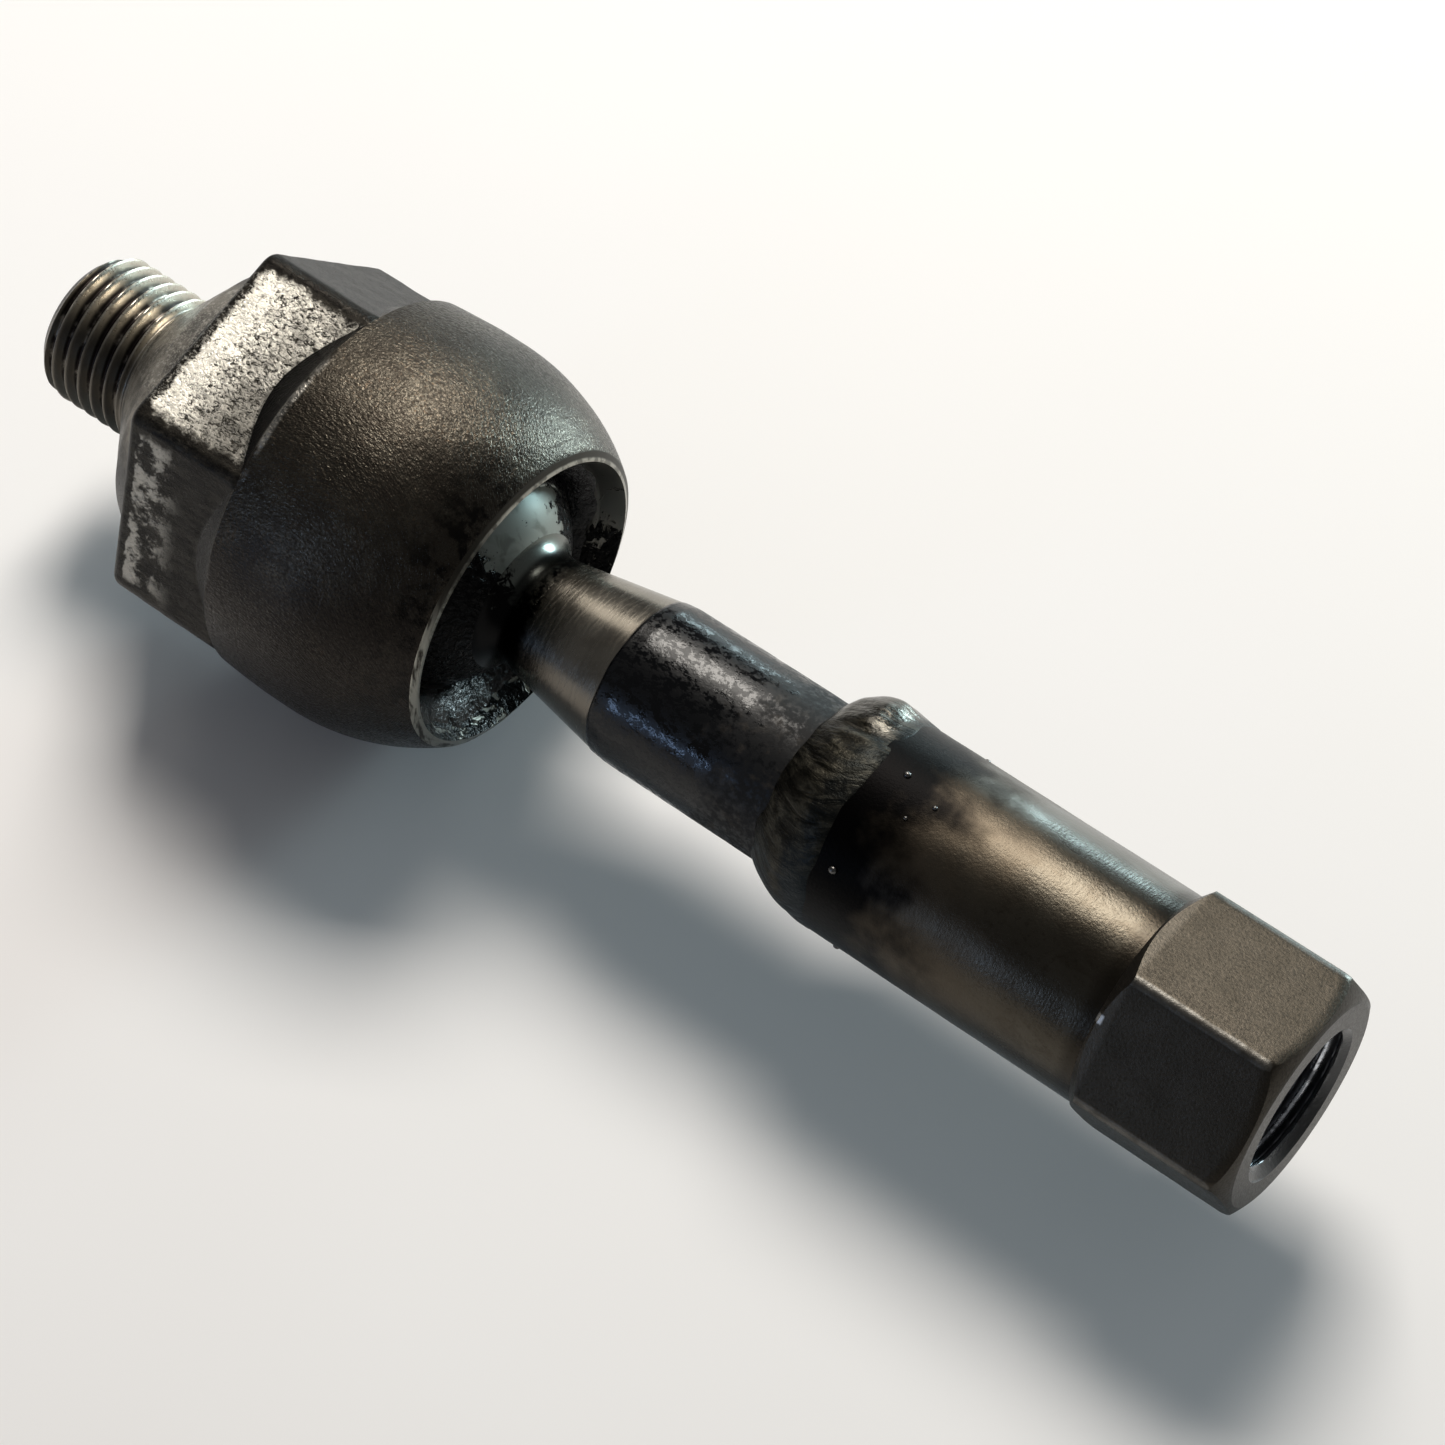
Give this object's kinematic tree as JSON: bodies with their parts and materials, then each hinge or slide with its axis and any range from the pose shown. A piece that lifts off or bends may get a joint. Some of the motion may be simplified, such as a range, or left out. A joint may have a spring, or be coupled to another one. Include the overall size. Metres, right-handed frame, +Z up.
{
  "type": "axial ball joint",
  "caption": "Axial ball joint: a threaded, hex-collared barrel housing holds a swivelling ball stud, and a tapped hexagonal sleeve is welded to the stud's shank.",
  "frame": {"origin": "on the common axis, where the male thread ends at the housing's collar", "axes": "+X along the axis from the male thread to the sleeve, +Z up with the joint lying on its side"},
  "size_m": [0.1284, 0.037, 0.037],
  "materials": {
    "forged_steel": "satin, greasy, worn forging skin",
    "turned_steel": "turned bright neck, gloss black painted shank",
    "weld_metal": "rippled weld metal with heat tint",
    "sleeve_steel": "satin, darkened by heat beside the weld",
    "seat_polymer": "moulded bearing polymer",
    "spring_steel": "oiled spring steel",
    "grease": "wet black grease"
  },
  "bodies": {
    "housing": {"ball_housing": "forged_steel", "seat_cup": "seat_polymer", "seat_ring": "seat_polymer", "disc_spring": "spring_steel", "grease_bead": "grease"},
    "pitch_carrier": {"grease_layer_outer": "grease"},
    "yaw_carrier": {"grease_layer_inner": "grease"},
    "stud": {"ball_stud": "turned_steel", "weld_bead": "weld_metal", "threaded_sleeve": "sleeve_steel"}
  },
  "joints": [
    {"name": "stud_pitch", "type": "hinge", "parent": "housing", "child": "pitch_carrier", "pos_m": [0.0286, 0, 0], "axis": [0, 1, 0], "range_deg": [-20, 20]},
    {"name": "stud_yaw", "type": "hinge", "parent": "pitch_carrier", "child": "yaw_carrier", "pos_m": [0.0286, 0, 0], "axis": [0, 0, 1], "range_deg": [-20, 20]},
    {"name": "stud_spin", "type": "hinge", "parent": "yaw_carrier", "child": "stud", "pos_m": [0.0286, 0, 0], "axis": [1, 0, 0], "continuous": true}
  ]
}
